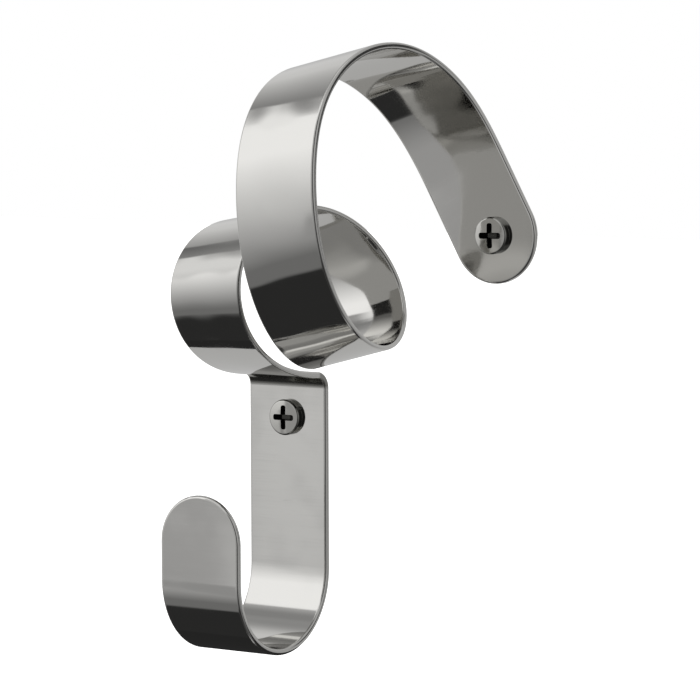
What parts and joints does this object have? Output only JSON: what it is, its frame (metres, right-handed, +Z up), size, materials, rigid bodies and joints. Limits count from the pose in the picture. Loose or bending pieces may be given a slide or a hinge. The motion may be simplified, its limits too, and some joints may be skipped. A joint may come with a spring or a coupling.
{
  "type": "wall hook",
  "caption": "Polished steel strip bent into a lower hook and a double curl, fixed flat to a wall by two pan-head screws.",
  "frame": {"origin": "on the wall face of the lower plate, at the middle of its flat height and width", "axes": "+X to the right seen from the room, +Y into the wall, +Z up"},
  "size_m": [0.0899, 0.07, 0.1601],
  "materials": {
    "polished_steel": "mirror polished",
    "screw_steel": "polished"
  },
  "bodies": {
    "root": {"hook_strip": "polished_steel", "lower_screw": "screw_steel", "upper_screw": "screw_steel"}
  },
  "joints": []
}
